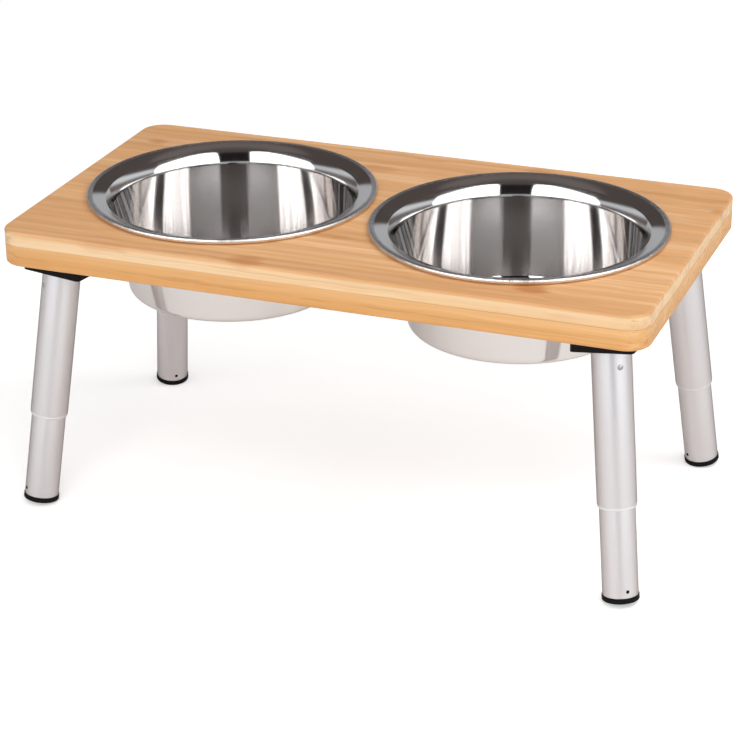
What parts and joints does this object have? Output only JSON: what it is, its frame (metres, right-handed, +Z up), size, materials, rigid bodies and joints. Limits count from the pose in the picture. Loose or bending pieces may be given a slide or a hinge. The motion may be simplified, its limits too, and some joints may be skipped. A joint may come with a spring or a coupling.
{
  "type": "raised dog feeder stand",
  "caption": "Low raised pet feeder: a rounded bamboo board on leaning telescopic metal legs with rubber feet, holding lift-out polished steel bowls in round holes.",
  "frame": {"origin": "on the floor, under the middle of the board", "axes": "+X along the board's length to the right, -Y towards the front, +Z up"},
  "size_m": [0.372, 0.2, 0.1735],
  "materials": {
    "bamboo_pale": "oiled satin bamboo, pale ply",
    "bamboo_dark": "oiled satin bamboo, darker ply",
    "polished_steel": "mirror polished stainless steel",
    "satin_aluminium": "satin anodised",
    "black_nylon": "fine moulded texture",
    "white_nylon": "smooth, slightly translucent",
    "black_rubber": "matt",
    "plated_steel": "zinc plated",
    "grey_nylon": "smooth moulded",
    "rivet_aluminium": "plain drawn",
    "brass": "turned"
  },
  "bodies": {
    "stand": {"board_top_ply": "bamboo_pale", "board_base_ply": "bamboo_dark", "mount_plate_front_left": "black_nylon", "mount_plate_front_right": "black_nylon", "mount_plate_rear_left": "black_nylon", "mount_plate_rear_right": "black_nylon", "mount_screws_front_left": "plated_steel", "mount_screws_front_right": "plated_steel", "mount_screws_rear_left": "plated_steel", "mount_screws_rear_right": "plated_steel", "tube_rivet_front_left": "rivet_aluminium", "tube_rivet_front_right": "rivet_aluminium", "tube_rivet_rear_left": "rivet_aluminium", "tube_rivet_rear_right": "rivet_aluminium", "upper_tube_front_left": "satin_aluminium", "upper_tube_front_right": "satin_aluminium", "upper_tube_rear_left": "satin_aluminium", "upper_tube_rear_right": "satin_aluminium", "collar_front_left": "white_nylon", "collar_front_right": "white_nylon", "collar_rear_left": "white_nylon", "collar_rear_right": "white_nylon"},
    "left_bowl": {"bowl_left": "polished_steel"},
    "right_bowl": {"bowl_right": "polished_steel"},
    "lock_front_left": {"lock_expander_front_left": "grey_nylon"},
    "lower_leg_front_left": {"lock_spindle_front_left": "brass", "lock_nut_front_left": "plated_steel", "lower_tube_front_left": "satin_aluminium", "foot_front_left": "black_rubber"},
    "lock_front_right": {"lock_expander_front_right": "grey_nylon"},
    "lower_leg_front_right": {"lock_spindle_front_right": "brass", "lock_nut_front_right": "plated_steel", "lower_tube_front_right": "satin_aluminium", "foot_front_right": "black_rubber"},
    "lock_rear_left": {"lock_expander_rear_left": "grey_nylon"},
    "lower_leg_rear_left": {"lock_spindle_rear_left": "brass", "lock_nut_rear_left": "plated_steel", "lower_tube_rear_left": "satin_aluminium", "foot_rear_left": "black_rubber"},
    "lock_rear_right": {"lock_expander_rear_right": "grey_nylon"},
    "lower_leg_rear_right": {"lock_spindle_rear_right": "brass", "lock_nut_rear_right": "plated_steel", "lower_tube_rear_right": "satin_aluminium", "foot_rear_right": "black_rubber"}
  },
  "joints": [
    {"name": "bowl_left_lift", "type": "slide", "parent": "stand", "child": "left_bowl", "axis": [0, 0, 1], "range_m": [0, 0.12]},
    {"name": "bowl_right_lift", "type": "slide", "parent": "stand", "child": "right_bowl", "axis": [0, 0, 1], "range_m": [0, 0.12]},
    {"name": "leg_front_left_slide", "type": "slide", "parent": "stand", "child": "lock_front_left", "axis": [-0.1028, -0.1225, -0.9871], "range_m": [-0.038, 0.008]},
    {"name": "leg_front_left_twist", "type": "hinge", "parent": "lock_front_left", "child": "lower_leg_front_left", "pos_m": [-0.1597, -0.0713, 0.1502], "axis": [-0.1028, -0.1225, -0.9871], "range_deg": [0, 150]},
    {"name": "leg_front_right_slide", "type": "slide", "parent": "stand", "child": "lock_front_right", "axis": [0.1028, -0.1225, -0.9871], "range_m": [-0.038, 0.008]},
    {"name": "leg_front_right_twist", "type": "hinge", "parent": "lock_front_right", "child": "lower_leg_front_right", "pos_m": [0.1597, -0.0713, 0.1502], "axis": [0.1028, -0.1225, -0.9871], "range_deg": [0, 150]},
    {"name": "leg_rear_left_slide", "type": "slide", "parent": "stand", "child": "lock_rear_left", "axis": [-0.1028, 0.1225, -0.9871], "range_m": [-0.038, 0.008]},
    {"name": "leg_rear_left_twist", "type": "hinge", "parent": "lock_rear_left", "child": "lower_leg_rear_left", "pos_m": [-0.1597, 0.0713, 0.1502], "axis": [-0.1028, 0.1225, -0.9871], "range_deg": [0, 150]},
    {"name": "leg_rear_right_slide", "type": "slide", "parent": "stand", "child": "lock_rear_right", "axis": [0.1028, 0.1225, -0.9871], "range_m": [-0.038, 0.008]},
    {"name": "leg_rear_right_twist", "type": "hinge", "parent": "lock_rear_right", "child": "lower_leg_rear_right", "pos_m": [0.1597, 0.0713, 0.1502], "axis": [0.1028, 0.1225, -0.9871], "range_deg": [0, 150]}
  ]
}
